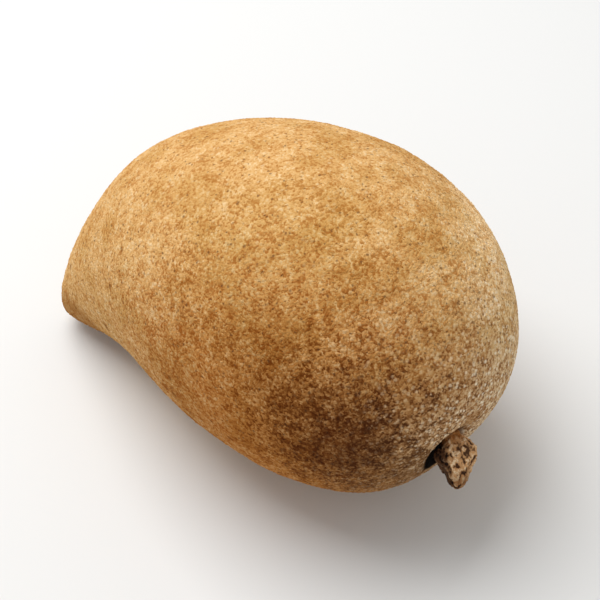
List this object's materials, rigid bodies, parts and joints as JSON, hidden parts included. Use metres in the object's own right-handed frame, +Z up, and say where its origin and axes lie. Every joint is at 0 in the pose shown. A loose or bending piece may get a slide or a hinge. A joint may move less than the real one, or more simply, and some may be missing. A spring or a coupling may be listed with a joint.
{
  "type": "mamey sapote",
  "caption": "Whole mamey sapote with scurfy tan-brown skin, a bent blunt beak and a woody stem stub in a shallow pit, lying on its side.",
  "frame": {"origin": "centre of the small flat spot that the fruit rests on, under its weight", "axes": "+Z up, +X along the fruit's long axis from the beak to the stem end, +Y to the left when looking along +X"},
  "size_m": [0.1612, 0.1036, 0.1021],
  "materials": {
    "fruit_skin": "dry, matte, sandpapery scurf over a firm rind",
    "stem_bark": "rough, weathered bark"
  },
  "bodies": {
    "root": {"fruit": "fruit_skin", "stem": "stem_bark"}
  },
  "joints": []
}
